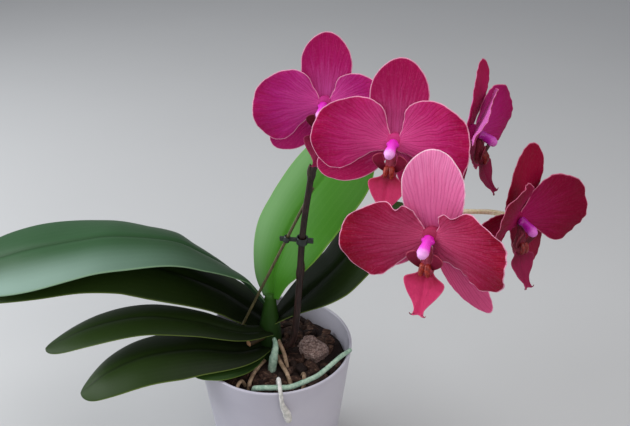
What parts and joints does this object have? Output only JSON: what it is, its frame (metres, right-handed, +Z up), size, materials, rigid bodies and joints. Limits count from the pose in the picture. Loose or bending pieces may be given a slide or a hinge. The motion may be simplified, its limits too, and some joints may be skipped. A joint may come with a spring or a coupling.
{
  "type": "potted orchid",
  "caption": "Moth orchid in a plain round plastic pot of bark: strap leaves, aerial roots, and an arching, staked flower stem of open magenta blooms.",
  "frame": {"origin": "centre of the pot's underside, on the surface it stands on", "axes": "+Z up; -Y is the side that the blooms nod to; +X is the viewer's right of it, where the flower stem arches to, and the long leaves reach to -X"},
  "size_m": [0.4542, 0.3446, 0.433],
  "materials": {
    "pot": "satin",
    "bark": "matte",
    "nugget": "matte",
    "leaf": "satin",
    "leaf_bright": "satin",
    "root_mint": "matte",
    "root_tan": "matte",
    "stem": "satin",
    "stake": "matte",
    "clip": "gloss",
    "tepals": "satin",
    "lip": "satin",
    "column": "satin",
    "pedicel": "satin"
  },
  "bodies": {
    "root": {"pot": "pot", "bark_mix": "bark", "bark_nugget": "nugget", "crown": "leaf", "leaf_left_1": "leaf", "leaf_left_2": "leaf", "leaf_left_3": "leaf", "leaf_left_4": "leaf", "leaf_left_5": "leaf", "leaf_right_1": "leaf_bright", "leaf_right_2": "leaf", "root_1": "root_mint", "root_2": "root_mint", "root_3": "root_mint", "root_4": "root_tan", "root_5": "root_tan", "root_6": "root_tan", "root_7": "root_tan", "root_8": "root_tan", "cut_stub": "root_tan", "flower_stem": "stem", "stake": "stake", "clip": "clip", "bloom_1_tepals": "tepals", "bloom_2_tepals": "tepals", "bloom_3_tepals": "tepals", "bloom_4_tepals": "tepals", "bloom_5_tepals": "tepals", "bloom_1_lip": "lip", "bloom_2_lip": "lip", "bloom_3_lip": "lip", "bloom_4_lip": "lip", "bloom_5_lip": "lip", "bloom_1_column": "column", "bloom_2_column": "column", "bloom_3_column": "column", "bloom_4_column": "column", "bloom_5_column": "column", "pedicel_1": "pedicel", "pedicel_2": "pedicel", "pedicel_3": "pedicel", "pedicel_4": "pedicel", "pedicel_5": "pedicel"}
  },
  "joints": []
}
